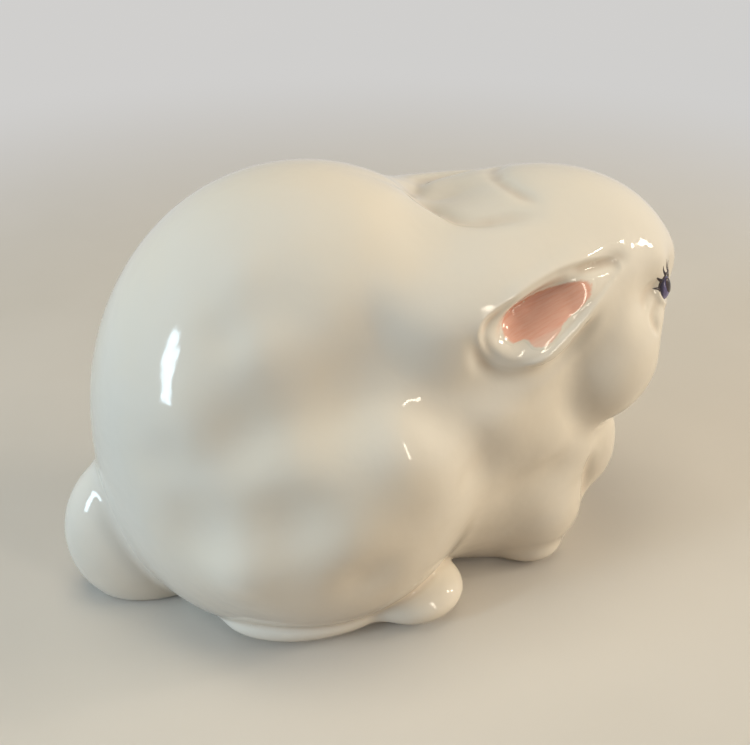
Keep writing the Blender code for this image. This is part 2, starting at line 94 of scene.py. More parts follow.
# Soft creases of the nape, the crown and the chest: path, half width and depth, the same on both sides
CREASES = (
    (((-3.0, -6.0, 91.5), (3.3, -8.7, 88.6), (6.2, -11.1, 86.9), (11.4, -13.5, 87.0), (12.9, -18.3, 87.0),
      (12.8, -23.8, 87.4), (13.5, -28.9, 88.2), (14.5, -34.0, 88.0)), 2.0, 1.3),
    (((-5.0, -27.5, 91.0), (1.6, -27.4, 90.9), (4.3, -28.3, 90.8), (7.2, -29.1, 90.5), (9.2, -30.6, 89.8),
      (12.0, -33.0, 88.8)), 1.5, 0.9),
    (((20.1, -45.9, 32.0), (19.9, -46.3, 27.0), (18.2, -46.9, 20.0), (17.4, -46.6, 12.5)), 1.4, 0.8),
)

# The groove beneath the lip of the ear and the crease that runs on from its brow: path, half width and depth
EAR_GROOVES = (
    (((32.6, -9.0, 75.4), (32.4, -10.6, 72.0), (32.2, -12.4, 68.4), (32.2, -14.3, 65.6), (32.3, -16.8, 63.7),
      (32.1, -19.5, 62.6), (31.8, -22.7, 61.8), (31.2, -26.0, 61.3), (30.0, -29.2, 61.6), (28.7, -32.0, 62.6),
      (27.7, -34.9, 64.6), (27.1, -37.1, 67.0), (26.9, -38.9, 69.3), (26.6, -40.6, 70.9),
      (25.9, -42.0, 72.9)), 1.6, 3.0),
    (((33.4, -9.0, 70.5), (33.2, -10.5, 67.0), (33.0, -13.0, 63.4), (32.6, -17.5, 60.9), (32.0, -22.5, 59.6),
      (30.8, -27.6, 59.4), (29.4, -31.6, 60.4)), 2.6, 0.9),
    (((24.6, -32.0, 80.0), (23.5, -35.0, 80.0), (22.6, -37.7, 79.8), (21.6, -40.4, 79.6), (21.0, -42.8, 79.7),
      (20.4, -45.5, 79.8), (19.3, -50.0, 79.5)), 1.2, 0.9),
)

# Swellings that fill the corners between the ear and the neck: place, spread and height
EAR_FILLS = (
    ((26.6, -27.5, 58.3), 6.5, 2.4), ((28.5, -4.0, 67.5), 6.5, 2.0), ((17.3, 4.5, 90.0), 7.0, 1.2),
    ((25.5, 6.0, 80.5), 7.0, 1.2), ((30.5, 3.0, 70.5), 7.0, 1.0), ((6.0, -5.0, 90.0), 6.0, 1.0),
)

# Creases of the face, by path, half width and depth, and its swellings, by place, spread and height
FACE_CREASES = (
    (((0.0, -69.4, 60.0), (0.0, -69.8, 57.2), (0.0, -69.6, 54.0), (0.0, -68.8, 49.6)), 0.55, 1.0),
    (((-4.0, -68.0, 50.2), (0.0, -68.9, 50.6), (3.0, -68.0, 49.6), (6.2, -65.6, 49.6), (9.2, -62.4, 51.2)),
     0.6, 1.1),
    (((9.4, -66.6, 66.0), (10.6, -65.0, 59.0), (11.2, -63.6, 52.0)), 1.5, 1.0),
    (((17.7, -59.6, 68.2), (18.3, -59.0, 66.8), (18.9, -58.1, 65.7), (20.1, -57.0, 64.8), (20.7, -57.1, 63.4),
      (20.8, -57.8, 61.6), (20.2, -58.6, 59.6)), 0.9, 0.8),
    (((15.5, -60.0, 70.2), (16.5, -58.8, 70.1), (17.7, -57.1, 70.1), (18.3, -56.1, 69.4), (19.4, -55.0, 68.6),
      (20.6, -54.2, 66.5)), 1.2, 0.7),
)
FACE_SWELLS = (
    ((19.5, -55.5, 69.5), 4.0, -1.6), ((7.5, -67.5, 72.6), 4.5, 0.9), ((19.5, -58.5, 54.5), 5.0, 0.5),
    ((12.0, -64.0, 70.5), 3.0, -0.9), ((16.5, -59.5, 76.0), 3.4, 0.7), ((17.2, -60.0, 63.2), 3.0, 0.9),
)

# The ear's mouth in its own axes: outwards, along towards the tip, and across towards the brow
MOUTH_TIP, TIP_RADIUS = np.array((6.0, 3.6)), 9.6
MOUTH_ROOT, ROOT_RADIUS = np.array((-18.0, 2.6)), 1.6
BROW_CENTRE, BROW_RADIUS = np.array((1.9, -39.5)), 46.9
EAR_LOBE = ((-3.5, 1.0, 1.0), (5.5, 16.0, 8.0))
BOWL_DEPTH = 3.1
BROW_RISE, BROW_SINK, BROW_DROP = 6.4, 2.2, 2.4
LIP_LEVEL, LIP_SINK, LIP_CURL = 0.5, 2.5, 1.2
RIM_RADIUS, BROW_THINNING, RIM_SINK, RIM_FILLET = 2.4, 1.0, 2.5, 3

# The eye's dome, its plane facing out of the head, and the swollen lid around it
EYE_CENTRE = np.array((14.57, -61.16, 68.27))
EYE_NORMAL = np.array((0.625, -0.775, 0.097))
EYE_HALF = (2.35, 2.0, 3.1)
LID_HALF, LID_SPAN, LID_HEIGHT, LID_WIDTH = (2.9, 3.55), 3.2, 0.5, 0.6

# Each piece runs this far beneath its neighbours, dipping under them by this share of the way
OVERLAP, DIP = 1.6, 0.10

TRIAL, LONGEST_MOVE, SHORTEST_EDGE, WIDEST_CORNER = 0.03, 1.5, 0.02, 2.7
COARSER = 1.0
FURTHEST, HALVINGS = 110.0, 14

# The threads that forms are worked out on, and how many points each takes at a time
WORKERS, SHARE_SIZE = ThreadPoolExecutor(4), 6000


def turned(turn, order="XYZ"):
    """The axes of a form turned by angles in degrees about x, y and z."""
    return np.array(Euler([math.radians(angle) for angle in turn], order).to_matrix())


EAR_AXES = turned((-16, -24, -13), "YXZ")
EAR_BACK_AXES = turned((0, 24, -10))
HAUNCH_AXES = turned((-12, 0, 0))


def sizes(vectors):
    return np.sqrt(np.einsum("ij,ij->i", vectors, vectors))


def lump(points, centre, half, axes=None):
    """How far points lie outside an ellipsoid of clay, negative inside it."""
    local = points - np.array(centre)
    if axes is not None:
        local = local @ axes
    half = np.array(half)
    scaled = local / half
    reach = sizes(scaled)
    return reach * (reach - 1) / np.maximum(sizes(scaled / half), 1e-9)


def blend(first, second, fillet):
    """Two forms joined with a fillet."""
    near = np.maximum(fillet - np.abs(first - second), 0) / fillet
    return np.minimum(first, second) - near * near * fillet / 4


def blend_cut(first, second, fillet):
    """What two forms share, with a rounded edge where they meet."""
    return -blend(-first, -second, fillet)


def folded(points):
    """Brings both sides of the figurine onto the left one, rounding the fold."""
    both = points.copy()
    both[:, 0] = np.sqrt(both[:, 0] ** 2 + 0.3)
    return both


def ramp(value, low, high):
    """Rises smoothly from 0 to 1 between two values."""
    share = np.clip((value - low) / (high - low), 0, 1)
    return share * share * (3 - 2 * share)


def swells(points, table):
    total = np.zeros(len(points))
    for place, spread, height in table:
        away = points - np.array(place, dtype=float)
        total += height * np.exp(-np.einsum("ij,ij->i", away, away) / (2 * spread * spread))
    return total


def crease(points, path, width, depth):
    """A soft groove along a path, fading at both ends."""
    path = np.array(path, dtype=float)
    low, high = path.min(axis=0) - 4 * width, path.max(axis=0) + 4 * width
    near = np.flatnonzero(((points > low) & (points < high)).all(axis=1))
    result = np.zeros(len(points))
    if len(near) == 0:
        return result
    run = np.concatenate(([0], np.cumsum(sizes(np.diff(path, axis=0)))))
    count = max(5, int(run[-1] / (1.3 * width)))
    spots = (np.arange(count) + 0.5) / count
    dents = np.stack([np.interp(spots * run[-1], run, path[:, axis]) for axis in range(3)], axis=1)
    fading = ramp(np.minimum(spots, 1 - spots), 0, 0.3)
    weights = depth * fading * run[-1] / (count * width * math.sqrt(2 * math.pi))
    away = points[near][:, None, :] - dents[None]
    result[near] = np.exp(-np.einsum("ijk,ijk->ij", away, away) / (2 * width * width)) @ weights
    return result


def creases(points, table):
    return sum(crease(points, path, width, depth) for path, width, depth in table)


def built_up(points, core, further):
    """A lump with further lumps smoothed into it in turn."""
    form = lump(points, *core)
    for added, fillet in further:
        form = blend(form, lump(points, *added), fillet)
    return form


def body_form(points):
    form = built_up(points, TRUNK, BODY_LUMPS)
    form = blend(form, lump(points, *HAUNCH, HAUNCH_AXES), HAUNCH_FILLET)
    return form - swells(points, SWELLS)


def eye_frame():
    """The eye's own axes: across, outwards and up."""
    across = np.cross((0, 0, 1.0), EYE_NORMAL)
    across = across / np.linalg.norm(across)
    return np.stack((across, EYE_NORMAL, np.cross(EYE_NORMAL, across)), axis=1)


def head_form(points):
    form = built_up(points, SKULL, HEAD_LUMPS) - swells(points, FACE_SWELLS)
    local = (points - EYE_CENTRE) @ eye_frame()
    ring = (np.hypot(local[:, 0] / LID_HALF[0], local[:, 2] / LID_HALF[1]) - 1) * LID_SPAN
    near = np.exp(-np.maximum(np.abs(local[:, 1] - 1) - 2, 0) ** 2)
    lid = LID_HEIGHT * np.exp(-ring * ring / (2 * LID_WIDTH**2)) * near
    return form - lid + creases(points, FACE_CREASES)


def ear_local(points):
    return (points - EAR_MOUTH) @ EAR_AXES


def mouth_edges(local):
    """How far places in the ear's own axes lie beyond its upper edge, and beyond its lower edge."""
    flat = local[:, 1:]
    over = sizes(flat - BROW_CENTRE) - BROW_RADIUS
    axis = MOUTH_TIP - MOUTH_ROOT
    run = math.hypot(*axis)
    back = (MOUTH_TIP - flat) @ (axis / run)
    side = (flat - MOUTH_ROOT) @ (np.array((axis[1], -axis[0])) / run)
    side = (side + np.sqrt(side * side + 1)) / 2
    lean = (TIP_RADIUS - ROOT_RADIUS) / run
    fall = math.sqrt(1 - lean * lean)
    share = fall * back - lean * side
    under = fall * side + lean * back - TIP_RADIUS
    under = np.where(share < 0, np.hypot(side, back) - TIP_RADIUS, under)
    under = np.where(share > fall * run, np.hypot(side, back - run) - ROOT_RADIUS, under)
    return over, under


def edge_heights(local):
    """How high the brow and the lip of the mouth stand along its length."""
    along = local[:, 1]
    brow = BROW_RISE * ramp(along, -24, 10) - BROW_SINK - BROW_DROP * ramp(along, 5, 15)
    lip = LIP_LEVEL - LIP_SINK * ramp(-along, 6, 22) + LIP_CURL * ramp(along, 8, 17)
    return brow, lip


def ear_form(points):
    """The lop ear: its back, its lobe and the raised rim of its mouth."""
    form = lump(points, *EAR_BACK, EAR_BACK_AXES)
    local = ear_local(points)
    form = blend(form, lump(local, *EAR_LOBE), LOBE_FILLET)
    over, under = mouth_edges(local)
    brow, lip = edge_heights(local)
    upper = ramp(over - under, -4, 4)
    radius = RIM_RADIUS - BROW_THINNING * upper
    height = lip + (brow - lip) * upper - radius - RIM_SINK * ramp(-local[:, 1], 9, 18)
    rim = np.hypot(blend_cut(over, under, RIM_FILLET), local[:, 0] - height) - radius
    return blend(form, rim, RIM_FILLET)


def bowl_form(points):
    """How far places lie above the floor of the ear, steep beneath the brow and gentle at the lip."""
    local = ear_local(points)
    over, under = mouth_edges(local)
    brow, lip = edge_heights(local)
    steep = ramp(-over, -0.2, 2.9 + 3.0 * ramp(local[:, 1], 6, 16))
    depth = BOWL_DEPTH * ramp(-under, -0.5, 10.5) * (1 - ramp(-local[:, 1], -3, 15))
    floor = brow + (lip - depth - brow) * steep + ramp(-local[:, 1], 4, 12)
    outside = np.maximum(blend_cut(over, under, RIM_FILLET) + 0.3, 0)
    return 0.7 * (local[:, 0] - floor - 0.1 - 0.8 * outside * outside)


def parts_of(points):
    """The form of each luted part, before they are smoothed into each other."""
    both = folded(points)
    return {
        "body": body_form(both),
        "ruff": blend(lump(both, *TUFT), lump(both, *MIDDLE_TUFT), TUFT_FILLET),
        "head": head_form(both),
        "ear": ear_form(both),
        "tail": lump(both, *TAIL),
        "foot": blend(lump(both, *HEEL), lump(both, *TOES), TOE_FILLET),
        "paw": lump(both, *PAW),
    }


def joined(points, parts, hollow=True):
    """The whole figurine, its parts smoothed into each other as wet clay is, on a flat base.

    The ears are hollowed, or left full where hollow is False.
    """
    both = folded(points)
    form = parts["body"]
    for key, fillet in SEAMS:
        form = blend(form, parts[key], fillet)
    if hollow:
        form = blend_cut(form, bowl_form(both), 1.5)
    form = form + creases(both, CREASES) + creases(both, EAR_GROOVES) - swells(both, EAR_FILLS)
    return blend_cut(form, -points[:, 2], BASE_FILLET)


def in_shares(form, points):
    """A form's values at many points, worked out a share at a time."""
    shares = np.array_split(points, 1 + len(points) // SHARE_SIZE)
    return np.concatenate(list(WORKERS.map(form, shares)))


def whole_form(points):
    return in_shares(lambda share: joined(share, parts_of(share)), points)


def piece_share(points, key, hollow):
    parts = parts_of(points)
    form = joined(points, parts, hollow)
    others = np.min([part for name, part in parts.items() if name != key], axis=0)
    beyond = parts[key] - others
    if key in ("ear", "foot", "paw"):
        beyond = np.maximum(beyond, -2 * points[:, 0])
    return np.maximum(form + DIP * np.maximum(beyond, 0), 0.5 * (beyond - OVERLAP))


def piece_form(points, key, hollow=True):
    """One piece of the whole: its own share, running a little way beneath its neighbours."""
    return in_shares(lambda share: piece_share(share, key, hollow), points)


def slopes(form, points, step):
    """How fast a form rises along x, y and z."""
    rises = [form(points + step * axis) - form(points - step * axis) for axis in np.eye(3)]
    return np.stack(rises, axis=1) / (2 * step)


def settled(form, points, rounds):
    """Moves points onto the form's surface."""
    for _ in range(rounds):
        value = form(points)
        slope = np.stack([form(points + TRIAL * axis) - value for axis in np.eye(3)], axis=1) / TRIAL
        length = np.maximum(np.einsum("ij,ij->i", slope, slope), 0.05)
        move = slope * (value / length)[:, None]
        size = np.linalg.norm(move, axis=1)[:, None]
        points = points - move * np.minimum(1, LONGEST_MOVE / np.maximum(size, 1e-9))
    return points


def grid_cube(detail):
    """Directions spread evenly around a centre, and the square faces between them."""
    bm = bmesh.new()
    bmesh.ops.create_cube(bm, size=2.0)
    bmesh.ops.subdivide_edges(bm, edges=bm.edges, cuts=detail - 1, use_grid_fill=True)
    directions = np.tan(np.array([vertex.co[:] for vertex in bm.verts]) * math.pi / 4)
    directions = directions / np.linalg.norm(directions, axis=1)[:, None]
    faces = [[vertex.index for vertex in face.verts] for face in bm.faces]
    bm.free()
    return directions, faces


def cast(form, centre, detail):
    """A closed skin whose points ride out from the centre to the form's surface."""
    directions, faces = grid_cube(detail)
    inside, outside = np.zeros(len(directions)), np.full(len(directions), FURTHEST)
    for _ in range(HALVINGS):
        middle = (inside + outside) / 2
        beyond = form(np.array(centre) + directions * middle[:, None]) > 0
        outside = np.where(beyond, middle, outside)
        inside = np.where(beyond, inside, middle)
    return np.array(centre) + directions * outside[:, None], faces


def new_object(name, points, faces):
    mesh = bpy.data.meshes.new(name)
    mesh.from_pydata([tuple(point) for point in points * MM], [], faces)
    mesh.update()
    thing = bpy.data.objects.new(name, mesh)
    bpy.context.collection.objects.link(thing)
    return thing


def points_of(mesh):
    flat = np.zeros(len(mesh.vertices) * 3)
    mesh.vertices.foreach_get("co", flat)
    return flat.reshape(-1, 3) / MM


def place_points(mesh, points):
    mesh.vertices.foreach_set("co", (points * MM).ravel())
    mesh.update()


def applied(thing):
    """Replaces the object's mesh by what its modifiers make of it."""
    graph = bpy.context.evaluated_depsgraph_get()
    mesh = bpy.data.meshes.new_from_object(thing.evaluated_get(graph))
    thing.modifiers.clear()
    old = thing.data
    thing.data = mesh
    bpy.data.meshes.remove(old)
    mesh.name = thing.name


def remeshed(thing, voxel):
    modifier = thing.modifiers.new("even", "REMESH")
    modifier.mode = "VOXEL"
    modifier.voxel_size = voxel * MM
    applied(thing)


def relaxed(mesh, points):
    """Evens out the spacing of points by moving each halfway to the middle of its neighbours."""
    edges = np.zeros(len(mesh.edges) * 2, dtype=np.int32)
    mesh.edges.foreach_get("vertices", edges)
    edges = edges.reshape(-1, 2)
    total = np.zeros_like(points)
    count = np.zeros(len(points))
    for here, there in ((0, 1), (1, 0)):
        np.add.at(total, edges[:, here], points[edges[:, there]])
        np.add.at(count, edges[:, here], 1)
    return (points + total / np.maximum(count, 1)[:, None]) / 2


def largest_part(bm):
    """The points of the largest connected part of a mesh."""
    unseen = set(bm.verts)
    largest = set()
    while unseen:
        part, waiting = set(), [unseen.pop()]
        while waiting:
            vertex = waiting.pop()
            part.add(vertex)
            fresh = {edge.other_vert(vertex) for edge in vertex.link_edges} & unseen
            unseen -= fresh
            waiting.extend(fresh)
        largest = max(largest, part, key=len)
    return largest


def is_uneven(face):
    """Whether a face has more than four corners, or one that is nearly straight."""
    return len(face.verts) > 4 or max(loop.calc_angle() for loop in face.loops) > WIDEST_CORNER


def mended(thing):
    """Closes the shortest edges, splits the thin faces beside a cut and keeps the largest connected part."""
    bm = bmesh.new()
    bm.from_mesh(thing.data)
    bmesh.ops.dissolve_degenerate(bm, edges=bm.edges, dist=SHORTEST_EDGE * MM)
    uneven = [face for face in bm.faces if is_uneven(face)]
    bmesh.ops.triangulate(bm, faces=uneven, quad_method="BEAUTY", ngon_method="BEAUTY")
    bmesh.ops.collapse(bm, edges=[edge for edge in bm.edges if len(edge.link_faces) > 2])
    kept = largest_part(bm)
    bmesh.ops.delete(bm, geom=[vertex for vertex in bm.verts if vertex not in kept], context="VERTS")
    bm.to_mesh(thing.data)
    bm.free()


def skin(name, key, centre, voxel):
    """The even, finely meshed skin of one piece."""
    points, faces = cast(lambda p: piece_form(p, key, False), centre, 30)
    thing = new_object(name, points, faces)
    form = lambda p: piece_form(p, key)
    for _ in range(2 if key == "ear" else 1):
        remeshed(thing, voxel)
        points = settled(form, points_of(thing.data), 4)
        points = settled(form, relaxed(thing.data, points), 2)
        place_points(thing.data, points)
    mended(thing)
    return thing


def mirrored(thing, name):
    """The same piece for the other side of the figurine."""
    mesh = thing.data.copy()
    mesh.transform(Matrix.Scale(-1, 4, (1, 0, 0)))
    mesh.flip_normals()
    mesh.name = name
    other = bpy.data.objects.new(name, mesh)
    bpy.context.collection.objects.link(other)
    return other


def bored(thing):
    """Hollows the body, leaving the wall of the casting, and bores the drain hole in its base."""
    hollow_form = lambda p: np.maximum(body_form(folded(p)) + WALL, WALL - p[:, 2])
    points, faces = cast(hollow_form, TRUNK[0], 26)
    hollow = new_object("hollow", points, faces)
    bm = bmesh.new()
    bmesh.ops.create_cone(
        bm, cap_ends=True, segments=64, radius1=DRAIN_RADIUS, radius2=DRAIN_RADIUS, depth=3 * WALL,
    )
    bmesh.ops.translate(bm, verts=bm.verts, vec=(*DRAIN_PLACE, WALL / 2))
    rod_points = np.array([vertex.co[:] for vertex in bm.verts])
    rod_faces = [[vertex.index for vertex in face.verts] for face in bm.faces]
    bm.free()
    rod = new_object("rod", rod_points, rod_faces)
    for cutter in (hollow, rod):
        modifier = thing.modifiers.new(cutter.name, "BOOLEAN")
        modifier.operation = "DIFFERENCE"
        modifier.solver = "EXACT"
        modifier.object = cutter
    applied(thing)
    mended(thing)
    for cutter in (hollow, rod):
        bpy.data.objects.remove(cutter, do_unlink=True)


# How far around a point its bend is judged, and how near the whole form's surface a point counts as outside
BEND_REACH, OUTSIDE_BAND = 1.6, 0.25


def glaze_marks(mesh):
    """Stores where glaze pools in the creases, a mark that also darkens them as painted shade, and where it
    thins on the ridges, and shades the outside as one skin.
    """
    points = points_of(mesh)
    value = whole_form(points)
    around = [whole_form(points + sign * BEND_REACH * axis) for axis in np.eye(3) for sign in (1, -1)]
    bend = (sum(around) - 6 * value) / BEND_REACH**2
    outside = np.abs(value) < OUTSIDE_BAND
    # The crease mark carries pooled glaze and painted shade, the ridge mark carries thinned glaze
    for name, amount in (("pool_and_shade", -bend / 0.8 - 0.1), ("ridge", bend / 0.9)):
        mark = mesh.attributes.new(name, "FLOAT", "POINT")
        mark.data.foreach_set("value", np.where(outside, np.clip(amount, 0, 1), 0))
    slope = slopes(whole_form, points, 0.12)
    slope = slope / np.maximum(np.linalg.norm(slope, axis=1), 1e-9)[:, None]
    own = np.zeros(len(points) * 3)
    mesh.vertices.foreach_get("normal", own)
    own = own.reshape(-1, 3)
    agree = (slope * own).sum(axis=1) > 0.3
    normals = np.where((outside & agree)[:, None], slope, own)
    mesh.shade_smooth()
    mesh.normals_split_custom_set_from_vertices([tuple(normal) for normal in normals])


def layer(name, grid, normals, lifts, depth, marks, wraps=True):
    """A thin closed coat of paint: rows of points on a skin, lifted a little and closed beneath.

    Each row runs round in a ring where wraps is True, and ends at both sides where it is False.
    """
    rows, columns = grid.shape[:2]
    top = grid + normals * lifts[..., None]
    bottom = grid - normals * depth
    points = np.concatenate((top.reshape(-1, 3), bottom.reshape(-1, 3)))
    under = rows * columns
    faces = []
    spans = columns if wraps else columns - 1
    for row in range(rows - 1):
        for column in range(spans):
            after = (column + 1) % columns
            a, b = row * columns + column, row * columns + after
            c, d = (row + 1) * columns + after, (row + 1) * columns + column
            faces.append((a, b, c, d))
            faces.append((under + d, under + c, under + b, under + a))
    last = rows - 1
    for column in range(spans):
        after = (column + 1) % columns
        a, b = last * columns + column, last * columns + after
        faces.append((a, b, under + b, under + a))
        if not wraps:
            a, b = column, after
            faces.append((b, a, under + a, under + b))
    if wraps:
        faces.append(tuple(range(columns - 1, -1, -1)))
        faces.append(tuple(under + column for column in range(columns)))
    else:
        for row in range(last):
            a, b = row * columns, (row + 1) * columns
            faces.append((a, b, under + b, under + a))
            a, b = a + columns - 1, b + columns - 1
            faces.append((b, a, under + a, under + b))
    thing = new_object(name, points, faces)
    bm = bmesh.new()
    bm.from_mesh(thing.data)
    bmesh.ops.recalc_face_normals(bm, faces=bm.faces)
    bm.to_mesh(thing.data)
    bm.free()
    thing.data.shade_smooth()
    for key, values in marks.items():
        mark = thing.data.attributes.new(key, "FLOAT", "POINT")
        mark.data.foreach_set("value", np.concatenate((values.ravel(), values.ravel())))
    return thing


def unit(vectors):
    return vectors / np.maximum(np.linalg.norm(vectors, axis=-1), 1e-9)[..., None]


def landed(points, outward):
    """Where points near the skin land on it, along one direction."""
    places = points + outward * 4.0
    for _ in range(60):
        places = places - outward * np.clip(whole_form(places), -1, 1)[:, None] * 0.8
    return places


def smooth_loop(corners, count):
    """A smooth closed outline through a few corners."""
    corners = np.array(corners, dtype=float)
    share = np.arange(count) * len(corners) / count
    first = share.astype(int)
    t = (share - first)[:, None]
    p0, p1, p2, p3 = (corners[(first + k) % len(corners)] for k in (-1, 0, 1, 2))
    square = 2 * p0 - 5 * p1 + 4 * p2 - p3
    cube = 3 * p1 - p0 - 3 * p2 + p3
    return 0.5 * (2 * p1 + (p2 - p0) * t + square * t**2 + cube * t**3)


def laid(points, outward, shape):
    """Points brought onto the skin, and its normals there, both as a grid of the given shape."""
    places = landed(points, outward)
    normals = unit(slopes(whole_form, places, 0.1))
    return places.reshape(shape + (3,)), normals.reshape(shape + (3,))


# Outline of the brushed pink in the ear, along the mouth towards its tip and across it
BLUSH = (
    (10.3, 2.2), (9.0, 4.2), (5.9, 5.4), (0.0, 5.4), (-5.0, 4.6), (-9.0, 3.4), (-11.0, 1.8), (-10.2, 0.0),
    (-7.6, -1.4), (-2.2, -2.7), (-0.4, -3.8), (3.3, -4.9), (6.0, -3.8), (6.7, -1.9), (9.5, -1.1), (10.8, 1.0),
)


def blush_layer():
    """The pink brushed into the hollow of the left ear."""
    outline = smooth_loop(BLUSH, 96)
    middle = outline.mean(axis=0)
    shares = np.linspace(0.04, 1.16, 34)
    flat = middle + shares[:, None, None] * (outline - middle)
    shape = flat.shape[:2]
    local = np.concatenate((np.zeros(shape + (1,)), flat), axis=2).reshape(-1, 3)
    grid, normals = laid(local @ EAR_AXES.T + EAR_MOUTH, EAR_AXES[:, 0], shape)
    share = np.broadcast_to(shares[:, None], shape)
    lifts = 0.10 - 0.18 * np.clip((share - 0.9) / 0.26, 0, 1) ** 2
    marks = {"share": share, "along": flat[..., 0], "across": flat[..., 1]}
    return layer("ear_lining_left", grid, normals, lifts, 0.35, marks)


def eye_layer(name, radii, offset, lift, depth):
    """A cap on the eye's own dome, out to the given radii across and up from a place beside its middle."""
    shares = np.linspace(0.05, 1.0, 18)
    angles = np.arange(48) * 2 * math.pi / 48
    u = shares[:, None] * radii[0] * np.cos(angles)[None] + offset[0]
    v = shares[:, None] * radii[1] * np.sin(angles)[None] + offset[1]
    rest = np.clip(1 - (u / EYE_HALF[0]) ** 2 - (v / EYE_HALF[2]) ** 2, 0, None)
    local = np.stack((u, EYE_HALF[1] * np.sqrt(rest), v), axis=2)
    normals = unit(local / np.array(EYE_HALF) ** 2)
    axes = eye_frame()
    marks = {"share": np.broadcast_to(shares[:, None], u.shape), "across": u, "along": v}
    return layer(name, local @ axes.T + EYE_CENTRE, normals @ axes.T, np.full(u.shape, lift), depth, marks)


# Lashes round the eye: angle of the root and length of each, and how far it leans back from straight out
LASHES = ((14, 1.3, -14), (42, 1.9, -10), (70, 2.9, -3), (98, 3.1, 4), (124, 2.8, 10), (150, 2.2, 16))
STROKE_LIFT = 0.16


def stroke(line, widths):
    """A tapering stroke of paint on the head, from a line in the eye's own plane."""
    axes = eye_frame()
    along = np.gradient(line, axis=0)
    side = unit(np.stack((-along[:, 1], along[:, 0]), axis=1))
    across = np.linspace(-1, 1, 5)
    flat = line[:, None, :] + side[:, None, :] * (across[None, :, None] * widths[:, None, None])
    flat_u, flat_v = flat[..., :1].reshape(-1, 1), flat[..., 1:].reshape(-1, 1)
    points = EYE_CENTRE + flat_u * axes[:, 0] + flat_v * axes[:, 2]
    shape = flat.shape[:2]
    grid, normals = laid(points + EYE_NORMAL * 1.0, EYE_NORMAL, shape)
    crown = STROKE_LIFT * (1 - 0.8 * across[None, :] ** 2) * np.clip(widths / widths.max(), 0.25, 1)[:, None]
    marks = {"share": np.broadcast_to(np.abs(across)[None, :], shape)}
    return layer("stroke", grid, normals, crown, 0.25, marks, False)


def joined_pieces(name, things):
    """Several closed pieces as one object."""
    bm = bmesh.new()
    for thing in things:
        bm.from_mesh(thing.data)
        bpy.data.objects.remove(thing, do_unlink=True)
    mesh = bpy.data.meshes.new(name)
    bm.to_mesh(mesh)
    bm.free()
    mesh.shade_smooth()
    whole = bpy.data.objects.new(name, mesh)
    bpy.context.collection.objects.link(whole)
    return whole


def lash_piece():
    """The lid line over the eye and the lashes that spring from it."""
    strokes = []
    angles = np.radians(np.linspace(4, 182, 40))
    lid = np.stack((np.cos(angles) * (EYE_HALF[0] + 0.45), np.sin(angles) * (EYE_HALF[2] + 0.35)), axis=1)
    widths = 0.12 + 0.33 * np.sin(np.linspace(0, math.pi, 40)) ** 0.7
    strokes.append(stroke(lid, widths))
    for angle, length, lean in LASHES:
        start = math.radians(angle)
        root = np.array((math.cos(start) * (EYE_HALF[0] + 0.3), math.sin(start) * (EYE_HALF[2] + 0.3)))
        out = math.radians(angle - lean)
        share = np.linspace(0, 1, 12)[:, None]
        bend = np.array((-math.sin(out), math.cos(out))) * (0.12 * lean / 10)
        line = root + share * length * np.array((math.cos(out), math.sin(out))) + share**2 * bend
        strokes.append(stroke(line, 0.40 * (1 - share[:, 0]) ** 0.8 + 0.03))
    return joined_pieces("lashes_left", strokes)


# Outline of the pink on the nose, across and up, the tip that it lies on and the way that the tip faces
NOSE_PATCH = (
    (3.1, 1.3), (1.6, 1.9), (0, 1.7), (-1.6, 1.9), (-3.1, 1.3), (-2.2, -0.6), (0, -2.1), (2.2, -0.6),
)
NOSE_TIP = np.array((0.0, -69.5, 59.4))
NOSE_ACROSS = np.array((1.0, 0, 0))
NOSE_OUT, NOSE_UP = np.array((0.0, -1.0, 0.25)), np.array((0.0, 0.25, 1.0))


def nose_layer():
    """The pink touched onto the tip of the nose."""
    shares = np.linspace(0.05, 1.2, 16)
    flat = shares[:, None, None] * smooth_loop(NOSE_PATCH, 64)[None]
    flat_u, flat_v = flat[..., :1].reshape(-1, 1), flat[..., 1:].reshape(-1, 1)
    points = NOSE_TIP + flat_u * NOSE_ACROSS + flat_v * unit(NOSE_UP)
    shape = flat.shape[:2]
    grid, normals = laid(points, unit(NOSE_OUT), shape)
    share = np.broadcast_to(shares[:, None], shape)
    lifts = 0.06 - 0.12 * np.clip((share - 0.9) / 0.3, 0, 1) ** 2
    marks = {"share": share, "across": flat[..., 0], "along": flat[..., 1]}
    return layer("nose", grid, normals, lifts, 0.3, marks)


